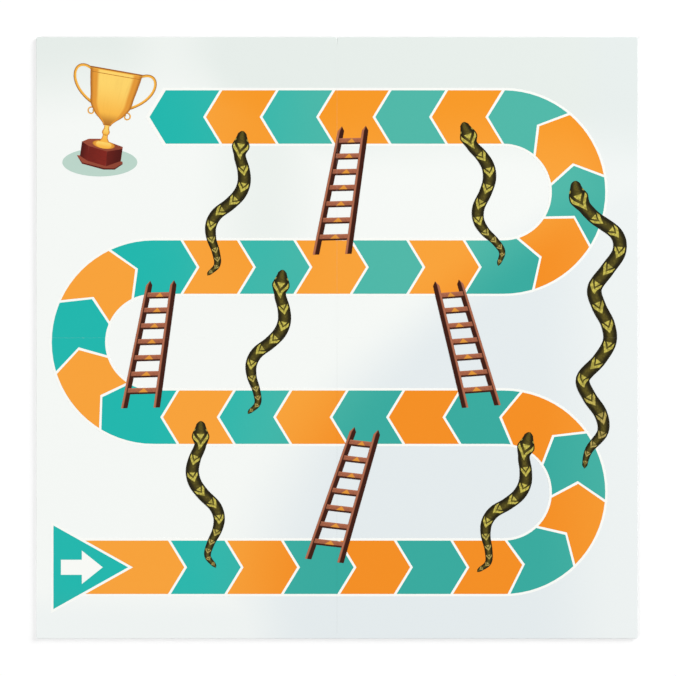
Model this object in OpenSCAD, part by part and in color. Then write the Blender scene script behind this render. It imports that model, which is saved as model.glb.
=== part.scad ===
// A square folding game board: four greyboard panels in a printed face sheet, on three cloth hinges.
// Millimetres. The board lies open and face up, +Z is up and +Y runs to the board's top edge.

/* [Board] */
// Side of the open board
board_side = 500; // [400:5:700]
// Thickness of the greyboard panels
board_t = 2; // [1.4:0.1:3]
// Radius of the board's corners and of the corners at the slit's mouth
corner_r = 1.8; // [0.6:0.1:4]
// Width of the slit between the two top panels
slit_w = 0.06; // [0.02:0.02:1]

/* [Sheets] */
// Thickness of the face sheet
face_t = 0.2; // [0.1:0.05:0.4]
// Width of the face sheet that is turned over onto the back
turn_in_w = 16; // [8:1:30]
// Thickness of the lining on the back
lining_t = 0.2; // [0.1:0.05:0.4]
// Width of the turned sheet that shows round the lining
lining_margin = 4; // [1:0.5:7]
// Thickness of the hinge cloth
cloth_t = 0.2; // [0.1:0.05:0.4]
// Width of the hinge cloth on one panel
cloth_w = 14; // [8:1:30]
// Thickness of one printed layer
ink_t = 0.05; // [0.03:0.01:0.1]

/* [Track] */
// Width of the spaces
track_w = 44.3; // [30:0.1:50]
// Width of the white line round the spaces and between them
keyline_w = 2; // [1:0.1:4]
// Length of a space's pointed tip
tip_l = 13.5; // [6:0.5:18]
// Clear margin between the board's left edge and the start
left_margin = 14.5; // [8:0.5:30]
// Clear margin between the board's left edge and the track's left turn
turn_margin = 13.1; // [8:0.1:30]
// Clear margin between the board's right edge and the track
right_margin = 27.2; // [10:0.2:40]
// From the board's top edge to the middle of the top row
top_margin = 66.6; // [50:0.2:80]
// From the board's bottom edge to the middle of the bottom row
bottom_margin = 59.4; // [50:0.2:80]
// Length of the starting triangle
start_l = 62; // [45:0.5:70]
// Height of the starting triangle
start_h = 69.4; // [55:0.2:80]

/* [Figures] */
// Width of a ladder over its rails at the foot
ladder_foot_w = 32.4; // [24:0.2:38]
// Width of a ladder over its rails at the top
ladder_top_w = 25.2; // [20:0.2:34]
// Turn of the rungs away from square, towards the level
ladder_skew_angle = 11; // [0:0.5:18]
// Width of a ladder's rail
rail_w = 5.4; // [3:0.1:7]
// Length of the point at the top of a rail
rail_tip_l = 4; // [1:0.5:8]
// Width of a rung
rung_w = 5.2; // [2.5:0.1:6]
// Width of a snake's body
snake_w = 10.8; // [7:0.2:13]
// Width of a snake's head
head_w = 15.2; // [10:0.1:18]
// Length of a snake's head
head_l = 20; // [14:0.5:28]
// Length of a snake's rounded nose
nose_l = 2.5; // [1:0.1:4]
// How far a snake's body sways to each side
sway = 11.6; // [5:0.2:14]
// Width of the cup over its handles
cup_w = 70; // [50:0.5:74]
// Height of the cup with its base
cup_h = 82; // [60:0.5:94]
// Lean of the cup to the right
cup_lean_angle = 10; // [0:1:15]
// Width of the cup's handles
handle_w = 2.2; // [1:0.1:4]

/* [Clearances] */
// Gap between two panels at a fold
fold_gap = 0.04; // [0.02:0.02:0.4]
// How far a cut runs past what it cuts
overrun = 1; // [0.5:0.1:2]

/* [Hidden] */
$fn = 64;
half = board_side / 2;
back_z = max(lining_t, cloth_t);
core_top = back_z + board_t;
face_top = core_top + face_t;

// Panels: name, side in X, side in Y
panels = [
    ["top_left", -1, 1],
    ["top_right", 1, 1],
    ["bottom_left", -1, -1],
    ["bottom_right", 1, -1]
];
LAYERS = ["core", "face", "lining", "keyline", "teal", "orange", "ladders", "snakes"];
CLOTHS = [
    "left_fold_cloth_upper", "left_fold_cloth_lower", "right_fold_cloth_upper",
    "right_fold_cloth_lower", "centre_fold_cloth_left", "centre_fold_cloth_right"
];

// Track rows are counted from the bottom. Legs of the path are row, bend, row and so on.
row_count = 4;
leg_count = 2 * row_count - 1;
row_spaces_share = 6.2;
row_tip_counts = [6, 7, 6, 7];
row_lead_shares = [0.57, 0.055, 0.79, 0.295];
bend_tip_count = 4;
bend_lead_angles = [15.5, 44, 29.5];
bend_step_angle = 41;
bend_steps = 36;
row_pitch = (board_side - top_margin - bottom_margin) / (row_count - 1);
bend_r = row_pitch / 2;
bend_l = PI * bend_r;
left_x = -half + turn_margin + track_w / 2 + bend_r;
right_x = half - right_margin - track_w / 2 - bend_r;
start_x = -half + left_margin + start_l;
row_span = right_x - left_x;
space_l = row_span / row_spaces_share;
key_shift = keyline_w / 2 / sin(atan(track_w / 2 / tip_l));
start_shift = keyline_w / sin(atan(start_h / 2 / start_l));
start_reach = track_w * start_l / start_h;

function way(row) = row % 2 == 0 ? 1 : -1;
function row_y(row) = -half + bottom_margin + row * row_pitch;
function row_x(row) = row == 0 ? start_x : way(row) > 0 ? left_x : right_x;
function row_lead(row) = row == 0 ? left_x - start_x : 0;
function leg_l(leg) = leg % 2 == 1 ? bend_l : leg == 0 ? right_x - start_x : row_span;
leg_s = [for (leg = 0, s = 0; leg < leg_count; s = s + leg_l(leg), leg = leg + 1) s];
function leg_at(s) = max([for (leg = [0:leg_count - 1]) if (leg == 0 || s >= leg_s[leg]) leg]);

// The point at distance s along the track, d to the left of its middle line
function place(s, d) =
    let (leg = leg_at(s), row = floor(leg / 2), u = s - leg_s[leg])
    leg % 2 == 0
        ? [row_x(row) + way(row) * u, row_y(row) + way(row) * d]
        : let (a = way(row) * u / bend_r * 180 / PI - 90, r = bend_r - way(row) * d)
          [(way(row) > 0 ? right_x : left_x) + r * cos(a), row_y(row) + bend_r + r * sin(a)];

// How much a length along the middle line shrinks or grows at d to its left
function spread(s, d) =
    let (leg = leg_at(s))
    leg % 2 == 0 ? 1 : bend_r / (bend_r - way(floor(leg / 2)) * d);

bend_grid = [for (leg = [1:2:leg_count - 1]) for (i = [0:bend_steps]) leg_s[leg] + bend_l * i / bend_steps];
function edge(s0, s1, d) =
    [for (s = concat(s0, [for (g = bend_grid) if (g > s0 && g < s1) g], s1)) place(s, d)];
function reversed(list) = [for (i = [len(list) - 1:-1:0]) list[i]];

tips = [
    for (leg = [0:leg_count - 1])
    for (k = [0:(leg % 2 == 0 ? row_tip_counts[leg / 2] : bend_tip_count) - 1])
    leg_s[leg] + (leg % 2 == 0
        ? row_lead(leg / 2) + (row_lead_shares[leg / 2] + k) * space_l
        : (bend_lead_angles[floor(leg / 2)] + k * bend_step_angle) / 180 * bend_l)
];
space_count = len(tips);
finish = place(tips[space_count - 1], 0);

function rear(k) = k == 1 ? 0 : tips[k - 2];
function front(k) = tips[k - 1];
function rear_edge(k, d) =
    k == 1
        ? start_shift - start_reach
        : rear(k) - tip_l + key_shift * spread(rear(k) - tip_l, d);
function front_edge(k, d) = front(k) - tip_l - key_shift * spread(front(k) - tip_l, d);
function rear_tip(k) = rear(k) + (k == 1 ? start_shift : key_shift);
function space_outline(k) =
    let (w = track_w / 2)
    concat(
        edge(rear_edge(k, w), front_edge(k, w), w),
        [place(front(k) - key_shift, 0)],
        reversed(edge(rear_edge(k, -w), front_edge(k, -w), -w)),
        [place(rear_tip(k), 0)]
    );
function space_middle(k) = place((rear(k) + front(k) - tip_l) / 2, 0);

function band_outline() =
    let (
        w = track_w / 2 + keyline_w,
        last = tips[space_count - 1],
        end = last + 2 * key_shift - tip_l * w / (track_w / 2)
    )
    concat(
        edge(-start_reach, end, w),
        [place(last + 2 * key_shift, 0)],
        reversed(edge(-start_reach, end, -w))
    );

function start_outline(grow) =
    let (
        x = start_x - start_l - grow,
        tip = start_x + (grow > 0 ? start_shift : 0),
        h = (tip - x) * start_h / 2 / start_l
    )
    [[x, row_y(0) - h], [tip, row_y(0)], [x, row_y(0) + h]];

// Ladders run up between these spaces, counted from the start. Shifts: foot, top.
ladder_space_counts = [[4, 14], [12, 27], [18, 22], [25, 35]];
ladder_shift_shares = [
    [[0.105, 0.12], [-0.02, -0.21]], [[0.02, 0.2], [0.055, -0.25]],
    [[0.065, 0.14], [0.055, -0.25]], [[0.02, 0.24], [0, -0.17]]
];
rung_count = 7;
rung_rise_share = 0.07;

// Snakes run down between these spaces, counted from the start. Shifts: nose, tail.
snake_space_counts = [[11, 7], [17, 2], [24, 16], [30, 10], [33, 28], [37, 23]];
snake_shift_shares = [
    [[-0.12, -0.14], [-0.2, -0.09]], [[0.05, -0.07], [0.19, -0.01]],
    [[0.155, -0.05], [-0.125, 0.06]], [[-0.06, 0.34], [0.21, -0.08]],
    [[-0.065, -0.095], [-0.09, 0.02]], [[0.035, -0.26], [-0.205, -0.16]]
];
short_sway_shares = [0, 0.1, 0.22, 0.7, 0.97, 0.85, 0.33, -0.38, -0.6, -0.35, 0.2, 0.5, 0];
long_sway_shares = [0, 0.25, 1.2, 2.8, 3, 2.1, 1.15, 1.4, 2, 2.1, 1.3, 0.1, 0.5, 1.3, 1.4, 0.35, 0];
left_sway_shares = [for (x = short_sway_shares) -x];
sway_shares = [
    short_sway_shares, left_sway_shares, short_sway_shares,
    long_sway_shares, short_sway_shares, short_sway_shares
];
short_body_shares = [0.9, 0.9, 0.91, 0.99, 1.02, 0.97, 0.94, 0.83, 0.65, 0.53, 0.3];
long_body_shares = [1, 1.03, 1.03, 1.1, 1.12, 1.07, 1.06, 1.07, 1.04, 0.78, 0.38];
body_shares = [
    short_body_shares, short_body_shares, short_body_shares,
    long_body_shares, short_body_shares, short_body_shares
];
head_size_shares = [1, 1, 1, 1.12, 1, 1];
head_shares = [0.34, 0.42, 0.58, 0.84, 0.96, 0.8];
snake_steps = 60;

function ends_of(counts, shares) = [for (i = [0, 1]) space_middle(counts[i]) + shares[i] * track_w];
ladder_lines = [
    for (i = [0:len(ladder_space_counts) - 1]) ends_of(ladder_space_counts[i], ladder_shift_shares[i])
];
snake_lines = [
    for (i = [0:len(snake_space_counts) - 1]) ends_of(snake_space_counts[i], snake_shift_shares[i])
];

// A smooth curve through a row of evenly spaced shares
function sway_at(shares, t) =
    let (
        n = len(shares) - 1,
        i = min(max(floor(t * n), 0), n - 1),
        f = t * n - i,
        before = shares[max(i - 1, 0)],
        here = shares[i],
        next = shares[i + 1],
        after = shares[min(i + 2, n)]
    )
    here + f / 2 * (next - before
        + f * (2 * before - 5 * here + 4 * next - after
        + f * (3 * (here - next) + after - before)));
function snake_middle(i, t) =
    let (
        line = snake_lines[i],
        run = line[1] - line[0],
        side = [-run.y, run.x] / norm(run)
    )
    line[0] + run * t + side * sway * sway_at(sway_shares[i], t);
function snake_half(i, t) =
    let (
        line = snake_lines[i],
        l = norm(line[1] - line[0]),
        size = head_size_shares[i],
        neck = sway_at(body_shares[i], size * head_l / l) * snake_w / (size * head_w),
        blunt = sqrt(min(1, t * l / nose_l, (1 - t) * l / nose_l))
    )
    blunt / 2 * (t * l < size * head_l
        ? size * head_w * sway_at(concat(head_shares, neck), t * l / (size * head_l))
        : snake_w * sway_at(body_shares[i], t));
function snake_side(i, t, hand) =
    let (
        step = 1 / snake_steps / 4,
        run = snake_middle(i, t + step) - snake_middle(i, t - step)
    )
    snake_middle(i, t) + [-run.y, run.x] / norm(run) * hand * snake_half(i, t);
function snake_outline(i) =
    concat(
        [for (k = [0:snake_steps]) snake_side(i, k / snake_steps, 1)],
        [for (k = [snake_steps - 1:-1:1]) snake_side(i, k / snake_steps, -1)]
    );

cup_place_share = 0.49;
cup_x = -half + left_margin + cup_place_share * (finish.x + half - left_margin);
cup_y = row_y(row_count - 1) - cup_h / 2;
bowl_shares = [
    [0.075, 0.46], [0.106, 0.48], [0.16, 0.52], [0.195, 0.56], [0.23, 0.6],
    [0.248, 0.65], [0.256, 0.7], [0.278, 0.8], [0.3, 0.9], [0.312, 0.985]
];
stem_shares = [
    [0.03, 0.184], [0.08, 0.19], [0.12, 0.205], [0.137, 0.224], [0.12, 0.243], [0.08, 0.258],
    [0.06, 0.268], [0.044, 0.285], [0.035, 0.304], [0.037, 0.322], [0.046, 0.345], [0.05, 0.365],
    [0.046, 0.385], [0.037, 0.402], [0.045, 0.425]
];
base_shares = [
    [-0.26, 0.217], [-0.187, 0.256], [-0.054, 0.276], [0.229, 0.234], [0.235, 0.09], [0.254, 0.087],
    [0.264, 0.062], [0.18, -0.007], [0.052, -0.026], [-0.215, -0.005], [-0.29, 0.068], [-0.254, 0.075]
];
oval_share = [0.445, 0.143];
oval_place_share = 0.041;
handle_shares = [[0.27, 0.95], [0.53, 1.1], [0.61, 0.76], [0.17, 0.605]];
handle_steps = 16;
arrow_shares = [
    [0.1, -0.09], [0.38, -0.09], [0.38, -0.2], [0.66, 0], [0.38, 0.2], [0.38, 0.09], [0.1, 0.09]
];
function sized(shares, w, h) = [for (s = shares) [s.x * w, s.y * h]];
function two_sided(points) = concat(points, [for (p = reversed(points)) [-p.x, p.y]]);

function inner_gap(p) = p[2] > 0 ? slit_w / 2 : fold_gap / 2;
function wrap_in(p, inset) = p[2] > 0 ? inset : 0;
function touches(points, p) =
    max([for (q = points) q.x * p[1]]) > inner_gap(p) && max([for (q = points) q.y * p[2]]) > fold_gap / 2;

module in_panel(p)
    mirror([p[1] < 0 ? 1 : 0, 0, 0])
    mirror([0, p[2] < 0 ? 1 : 0, 0])
    children();

module slab(z0, z1)
    translate([0, 0, z0])
    linear_extrude(z1 - z0)
    children();

module block(x0, y0, x1, y1)
    translate([x0, y0])
    square([x1 - x0, y1 - y0]);

module corner_cut(r)
    difference() {
        square(r + overrun);
        circle(r);
    }

// A panel's outline in its own quarter, set in from its wrapped edges, run on past its folds
module panel_outline(p, inset = 0, run_on = 0) {
    x0 = inner_gap(p) + wrap_in(p, inset) - (p[2] > 0 ? 0 : run_on);
    x1 = half - inset;
    r = corner_r - inset;
    difference() {
        block(x0, fold_gap / 2 - run_on, x1, x1);
        if (r > 0) {
            translate([x1 - r, x1 - r])
                corner_cut(r);
            if (p[2] > 0)
                translate([x0 + r, x1 - r])
                mirror([1, 0])
                corner_cut(r);
        }
    }
}

module fold_leaf(p)
    block(inner_gap(p) + wrap_in(p, face_t), fold_gap / 2, half - face_t, fold_gap / 2 + cloth_w);

module core(p)
    color("#9a948a")
    in_panel(p)
    difference() {
        union() {
            slab(back_z + face_t, core_top) panel_outline(p, face_t);
            slab(back_z, back_z + face_t) panel_outline(p, turn_in_w);
        }
        slab(core_top - cloth_t, core_top + overrun)
            block(0, 0, half, fold_gap / 2 + cloth_w);
    }

module face(p)
    color("#eef1ec")
    in_panel(p)
    difference() {
        slab(back_z, face_top) panel_outline(p);
        slab(back_z + face_t, core_top) panel_outline(p, face_t, overrun);
        slab(back_z - overrun, back_z + face_t) panel_outline(p, turn_in_w, overrun);
    }

module lining(p)
    color("#c9ccc8")
    in_panel(p)
    slab(back_z - lining_t, back_z)
    block(
        p[2] > 0 ? inner_gap(p) + lining_margin : fold_gap / 2 + cloth_w,
        fold_gap / 2,
        half - lining_margin,
        half - lining_margin
    );

module fold_cloth(p)
    color("#8d8f8c")
    in_panel(p)
    slab(core_top - cloth_t, core_top)
    fold_leaf(p);

module centre_cloth(p)
    color("#8d8f8c")
    in_panel(p)
    slab(back_z - cloth_t, back_z)
    block(fold_gap / 2, fold_gap / 2, fold_gap / 2 + cloth_w, half - lining_margin);

module printed(p, layer)
    slab(face_top + (layer - 1) * ink_t, face_top + layer * ink_t)
    intersection() {
        children();
        in_panel(p) block(inner_gap(p), fold_gap / 2, half, half);
    }

module keyline(p)
    color("#fbfcfa")
    printed(p, 1) {
        union() {
            polygon(band_outline());
            if (touches(start_outline(keyline_w), p))
                polygon(start_outline(keyline_w));
        }
    }

module spaces(p, first)
    for (k = [first:2:space_count])
        if (touches(space_outline(k), p))
            printed(p, 2) polygon(space_outline(k));

module orange(p)
    color("#f7a02f")
    spaces(p, 1);

module teal(p)
    color("#2db4a8") {
        spaces(p, 2);
        if (touches(start_outline(0), p))
            printed(p, 2) polygon(start_outline(0));
    }

function between(a, b, t) = a + (b - a) * t;
function unit(v) = v / norm(v);
module ladder(line) {
    run = line[1] - line[0];
    up = unit(run);
    turn = ladder_skew_angle * sign(run.x);
    cross = [up.y * cos(turn) + up.x * sin(turn), up.y * sin(turn) - up.x * cos(turn)];
    rail = cross * rail_w / 2;
    union() {
        for (side = [-1, 1]) {
            foot = line[0] + cross * side * (ladder_foot_w - rail_w) / 2;
            top = line[1] + cross * side * (ladder_top_w - rail_w) / 2;
            tip = unit(top - foot) * rail_tip_l;
            polygon([foot - rail, foot + rail, top + rail - tip, top, top - rail - tip]);
        }
        for (i = [1:rung_count]) {
            even = i / (rung_count + 1);
            t = even + rung_rise_share * even * (1 - even);
            end = cross * (between(ladder_foot_w, ladder_top_w, t) - rail_w) / 2;
            middle = between(line[0], line[1], t);
            deep = up * rung_w / 2;
            polygon([middle - end - deep, middle + end - deep, middle + end + deep, middle - end + deep]);
        }
    }
}

module ladders(p)
    color("#8a4a34")
    for (line = ladder_lines)
        if (touches(line, p))
            printed(p, 3) ladder(line);

module snakes(p)
    color("#4a4420")
    for (i = [0:len(snake_lines) - 1])
        if (touches(snake_lines[i], p))
            printed(p, 3) polygon(snake_outline(i));

module cup_print(layer, lean)
    slab(face_top + (layer - 1) * ink_t, face_top + layer * ink_t)
    translate([cup_x, cup_y])
    rotate(-lean)
    children();

module cup_oval()
    color("#bdd6c8")
    cup_print(1, 0)
    translate([0, oval_place_share * cup_h])
    polygon([for (a = [0:5:355]) [oval_share.x * cup_w * cos(a), oval_share.y * cup_h * sin(a)]]);

module cup_base()
    color("#74302a")
    cup_print(2, cup_lean_angle)
    difference() {
        polygon(sized(base_shares, cup_w, cup_h));
        polygon(two_sided(sized(stem_shares, cup_w, cup_h)));
    }

function bent(points, t) =
    points[0] * pow(1 - t, 3) + points[1] * 3 * t * pow(1 - t, 2)
    + points[2] * 3 * pow(t, 2) * (1 - t) + points[3] * pow(t, 3);
function handle_side(points, t, hand) =
    let (step = 1 / handle_steps / 4, run = bent(points, t + step) - bent(points, t - step))
    bent(points, t) + [-run.y, run.x] / norm(run) * hand * handle_w / 2;
function handle_outline(points) =
    concat(
        [for (k = [0:handle_steps]) handle_side(points, k / handle_steps, 1)],
        [for (k = [handle_steps:-1:0]) handle_side(points, k / handle_steps, -1)]
    );

module cup_bowl()
    color("#e0a83c")
    cup_print(2, cup_lean_angle)
    union() {
        polygon(two_sided(sized(concat(stem_shares, bowl_shares), cup_w, cup_h)));
        for (side = [-1, 1])
            polygon(handle_outline(sized(handle_shares, side * cup_w, cup_h)));
    }

module start_arrow()
    color("#fbfcfa")
    slab(face_top + 2 * ink_t, face_top + 3 * ink_t)
    translate([start_x - start_l, row_y(0)])
    polygon(sized(arrow_shares, start_l, start_h));

for (p = panels) {
    core(p);
    face(p);
    lining(p);
    keyline(p);
    teal(p);
    orange(p);
    ladders(p);
    snakes(p);
}
fold_cloth(panels[0]);  // left_fold_cloth_upper
fold_cloth(panels[1]);  // right_fold_cloth_upper
fold_cloth(panels[2]);  // left_fold_cloth_lower
fold_cloth(panels[3]);  // right_fold_cloth_lower
centre_cloth(panels[2]);  // centre_fold_cloth_left
centre_cloth(panels[3]);  // centre_fold_cloth_right
cup_oval();
cup_base();
cup_bowl();
start_arrow();
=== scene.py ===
"""A folding snakes and ladders board: its printed panels, its hinges and the studio that shows it."""
import math

import bmesh
import bpy
from mathutils import Matrix, Vector


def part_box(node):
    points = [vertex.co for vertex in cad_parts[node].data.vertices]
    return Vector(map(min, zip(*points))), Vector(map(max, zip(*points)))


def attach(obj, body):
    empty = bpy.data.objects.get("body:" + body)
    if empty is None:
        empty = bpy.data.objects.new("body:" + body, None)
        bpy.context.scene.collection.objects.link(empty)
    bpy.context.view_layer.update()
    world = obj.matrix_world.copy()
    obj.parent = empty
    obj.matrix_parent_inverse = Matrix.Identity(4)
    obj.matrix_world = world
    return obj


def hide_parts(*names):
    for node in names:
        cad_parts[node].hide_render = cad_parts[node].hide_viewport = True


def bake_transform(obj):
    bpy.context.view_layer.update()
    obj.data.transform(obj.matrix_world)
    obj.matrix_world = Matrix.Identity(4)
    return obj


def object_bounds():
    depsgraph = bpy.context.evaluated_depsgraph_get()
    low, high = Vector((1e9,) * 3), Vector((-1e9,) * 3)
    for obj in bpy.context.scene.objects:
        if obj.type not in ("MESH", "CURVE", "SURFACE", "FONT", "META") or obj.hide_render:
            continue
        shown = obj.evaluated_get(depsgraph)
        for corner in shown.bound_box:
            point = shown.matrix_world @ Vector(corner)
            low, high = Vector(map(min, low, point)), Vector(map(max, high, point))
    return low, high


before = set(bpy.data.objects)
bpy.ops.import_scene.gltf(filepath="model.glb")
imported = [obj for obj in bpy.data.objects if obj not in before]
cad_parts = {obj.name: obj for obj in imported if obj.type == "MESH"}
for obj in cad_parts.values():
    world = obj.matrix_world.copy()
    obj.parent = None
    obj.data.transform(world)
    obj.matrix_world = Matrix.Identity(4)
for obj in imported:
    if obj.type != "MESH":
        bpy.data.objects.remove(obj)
CAD_BOX = [list(corner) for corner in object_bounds()]
HALF = CAD_BOX[1][0]
PANELS = ("top_left", "top_right", "bottom_left", "bottom_right")
FACE_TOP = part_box("top_left_face")[1].z
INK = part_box("top_left_keyline")[1].z - FACE_TOP
INK_LAYERS = 3
TOP_INK = FACE_TOP + INK_LAYERS * INK
FOLD_DULL = 0.0012
FOLD_LINE = 0.0007
EDGE_WEAR = 0.0009
MERGE = 1e-7

bl_info = {
    "name": "Folding Snakes and Ladders Board",
    "version": (1, 0, 0),
    "blender": (4, 5, 0),
    "location": "View3D > Sidebar > Game Board",
    "description": "Dresses the panels, the print and the hinges of a folding snakes and ladders board",
    "category": "Object",
}


def linear(red, green, blue):
    """A screen colour, 0 to 255, as the shader's own numbers."""
    shares = [channel / 255 for channel in (red, green, blue)]
    return [s / 12.92 if s <= 0.04045 else ((s + 0.055) / 1.055) ** 2.4 for s in shares]


def amount(name, description, default, **kind):
    return bpy.props.FloatProperty(name=name, description=description, default=default, **kind)


def length(name, description, default):
    return amount(name, description, default, min=0, precision=5, unit="LENGTH")


def share(name, description, default):
    return amount(name, description, default, min=0, max=1, subtype="FACTOR")


def angle(name, description, degrees):
    return amount(name, description, math.radians(degrees), subtype="ANGLE")


def power(name, description, default):
    return amount(name, description, default, min=0, unit="POWER")


def count(name, description, default):
    return bpy.props.IntProperty(name=name, description=description, default=default, min=1)


def colour(name, description, red, green, blue):
    return bpy.props.FloatVectorProperty(
        name=name, description=description, default=linear(red, green, blue),
        size=3, min=0, max=1, subtype="COLOR",
    )


class BoardTrackSizes(bpy.types.PropertyGroup):
    """Where the winding track runs."""

    width: length("Track Width", "Width of the spaces", 0.0443)
    tip: length("Tip", "Length of a space's pointed tip", 0.0135)
    left: length("Left Margin", "From the left edge to the start", 0.0145)
    turn: length("Turn Margin", "From the left edge to the left turn of the track", 0.0131)
    right: length("Right Margin", "From the right edge to the track", 0.0272)
    top: length("Top Margin", "From the top edge to the middle of the top row", 0.0666)
    bottom: length("Bottom Margin", "From the bottom edge to the middle of the bottom row", 0.0594)
    start: length("Start", "Length of the starting triangle", 0.062)


class BoardFigureSizes(bpy.types.PropertyGroup):
    """Sizes of the wrapped edges, the ladders, the snakes and the cup."""

    edge_round: length("Edge Round", "Radius of the wrapped edges", 0.0005)
    ladder_foot: length("Ladder Foot", "Width over the rails at the foot", 0.0324)
    ladder_top: length("Ladder Top", "Width over the rails at the top", 0.0252)
    skew: angle("Rung Turn", "Turn of the rungs away from square, towards the level", 11)
    rail: length("Rail", "Width of a rail", 0.0054)
    rail_tip: length("Rail Tip", "Length of the point at the top of a rail", 0.004)
    rung: length("Rung", "Width of a rung", 0.0052)
    rungs: count("Rungs", "How many rungs a ladder has", 7)
    snake: length("Snake", "Width of a snake's body", 0.0108)
    head_width: length("Head Width", "Width of a snake's head", 0.0152)
    head_length: length("Head Length", "Length of a snake's head", 0.02)
    nose: length("Nose", "Length of a snake's rounded nose", 0.0025)
    sway: length("Sway", "How far a snake sways to each side", 0.0116)
    short_mark: length("Short Mark Gap", "From mark to mark on a short snake", 0.0142)
    long_mark: length("Long Mark Gap", "From mark to mark on the long snake", 0.0177)
    gathered: length("Gathered", "Length of tail over which the marks draw together", 0.045)
    cup_width: length("Cup Width", "Width of the cup over its handles", 0.07)
    cup_height: length("Cup Height", "Height of the cup with its base", 0.082)
    cup_lean: angle("Cup Lean", "Lean of the cup to the right", 10)
    handle: length("Handle", "Width of the cup's handles", 0.0022)


class BoardColours(bpy.types.PropertyGroup):
    """The colours of the print and of the sheets."""

    ground: colour("Ground", "The face sheet", 247, 250, 247)
    # Painted shade: the ground darker towards the top and towards the lower right.
    ground_top_shade: colour("Ground Top Shade", "The face sheet towards its top", 231, 238, 234)
    ground_corner_shade: colour("Ground Corner Shade", "The face sheet towards its lower right", 230, 237, 239)
    line: colour("Line", "The lines round the spaces", 252, 253, 248)
    white: colour("White", "The arrow on the start", 251, 252, 248)
    teal: colour("Teal", "Every other space and the start", 22, 184, 174)
    # Painted sheen towards the right and painted shade towards the lower right of the teal.
    teal_right_sheen: colour("Teal Right Sheen", "The teal towards the right", 79, 184, 168)
    teal_corner_shade: colour("Teal Corner Shade", "The teal towards the lower right", 54, 171, 159)
    orange: colour("Orange", "The spaces between", 250, 163, 54)
    # Painted shade: the orange darker towards the top and towards the lower right.
    orange_top_shade: colour("Orange Top Shade", "The orange towards the top", 248, 153, 32)
    orange_corner_shade: colour("Orange Corner Shade", "The orange towards the lower right", 246, 143, 28)
    snake_back: colour("Snake Back", "The middle of a snake", 94, 84, 26)
    snake_edge: colour("Snake Edge", "The sides of a snake", 34, 28, 3)
    snake_mark: colour("Snake Mark", "The marks on a snake", 206, 193, 86)
    tail_mark: colour("Tail Mark", "The marks near a snake's tail", 188, 168, 92)
    wood_light: colour("Wood Light", "The lit face of a ladder", 190, 120, 90)
    wood: colour("Wood", "The face of a rung", 163, 96, 68)
    wood_dark: colour("Wood Dark", "The shaded side of a ladder", 60, 20, 4)
    wood_mark: colour("Wood Mark", "The small marks on the rungs", 226, 150, 54)
    gold_light: colour("Gold Light", "The lit middle of the cup", 255, 213, 106)
    gold: colour("Gold", "The body of the cup", 250, 184, 70)
    gold_side: colour("Gold Side", "The shaded bands of the cup", 228, 152, 52)
    gold_dark: colour("Gold Dark", "The edges of the cup", 164, 96, 32)
    plinth_light: colour("Plinth Light", "The lit edges of the cup's base", 158, 76, 54)
    plinth: colour("Plinth", "The front of the cup's base", 120, 30, 20)
    plinth_dark: colour("Plinth Dark", "The shaded side of the cup's base", 78, 15, 9)
    pale: colour("Pale Oval", "The oval under the cup", 188, 214, 202)
    lining: colour("Lining", "The paper on the back", 206, 209, 205)
    cloth: colour("Hinge Cloth", "The cloth of the hinges", 150, 153, 150)
    greyboard: colour("Greyboard", "The boards inside", 152, 146, 136)


class BoardStage(bpy.types.PropertyGroup):
    """The floor, the lamps and the camera."""

    camera_height: length("Camera Height", "Height of the camera over the floor", 1.6)
    view_width: length("View Width", "Width of the picture at the board's face", 0.5615)
    right_lamp: power("Right Lamp", "Power of the soft lamp on the upper right", 322)
    left_lamp: power("Left Lamp", "Power of the soft lamp on the lower left", 184)
    sky: share("Sky", "Level of the light from all round", 0.22)
    floor_glow: share("Floor Glow", "Share of the floor's white that needs no lamp", 0.4)


def both_ways(operation):
    """A sum with a wire on its left, and the same with the wire on its right."""

    def forward(wire, other):
        return wire.sum(operation, wire, other)

    def reflected(wire, other):
        return wire.sum(operation, other, wire)

    return forward, reflected


class Wire:
    """One socket in a material. Sums on it add Math nodes."""

    __add__, __radd__ = both_ways("ADD")
    __sub__, __rsub__ = both_ways("SUBTRACT")
    __mul__, __rmul__ = both_ways("MULTIPLY")
    __truediv__, __rtruediv__ = both_ways("DIVIDE")
    __pow__, __rpow__ = both_ways("POWER")
    __gt__, __lt__ = both_ways("GREATER_THAN")

    def __init__(self, paint, socket):
        self.paint = paint
        self.socket = socket

    def at(self, name):
        return Wire(self.paint, self.socket.node.outputs[name])

    def sum(self, operation, first, second=0.0):
        return self.paint.node("ShaderNodeMath", {"operation": operation}, {0: first, 1: second})

    def __abs__(self):
        return self.sum("ABSOLUTE", self)

    def most(self, other):
        return self.sum("MAXIMUM", self, other)

    def part(self):
        return self.sum("FRACT", self)


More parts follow.
